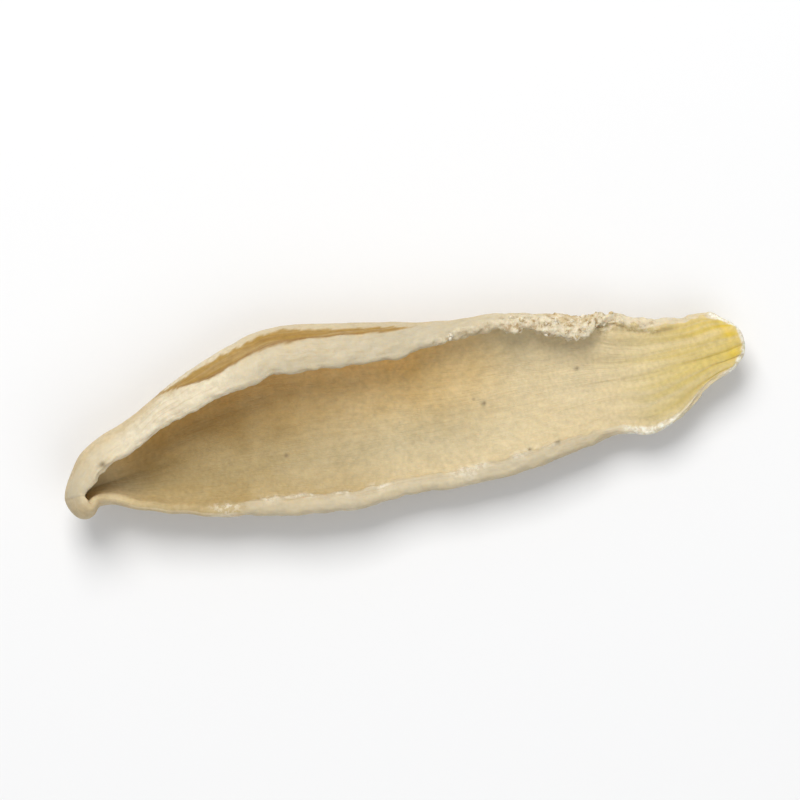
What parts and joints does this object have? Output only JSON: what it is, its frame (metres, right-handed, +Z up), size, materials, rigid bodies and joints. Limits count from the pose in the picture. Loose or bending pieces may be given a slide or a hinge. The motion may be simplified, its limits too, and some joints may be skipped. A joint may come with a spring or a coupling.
{
  "type": "dried lily bulb scale",
  "caption": "Dried scale of a lily bulb: a long boat-shaped leaf base with a hooded tip, rolled-in margins and a ridged yellow foot, lying on its rounded back.",
  "frame": {"origin": "under the middle of the scale's box, on the surface that it lies on", "axes": "+X along the scale from the hooded tip to the foot, +Y across it towards the margin that rolls in further, +Z up out of the hollow"},
  "size_m": [0.0528, 0.0148, 0.0068],
  "materials": {
    "dried_scale": "dull, horny dried plant tissue, cream to pale tan"
  },
  "bodies": {
    "root": {"bulb_scale": "dried_scale"}
  },
  "joints": []
}
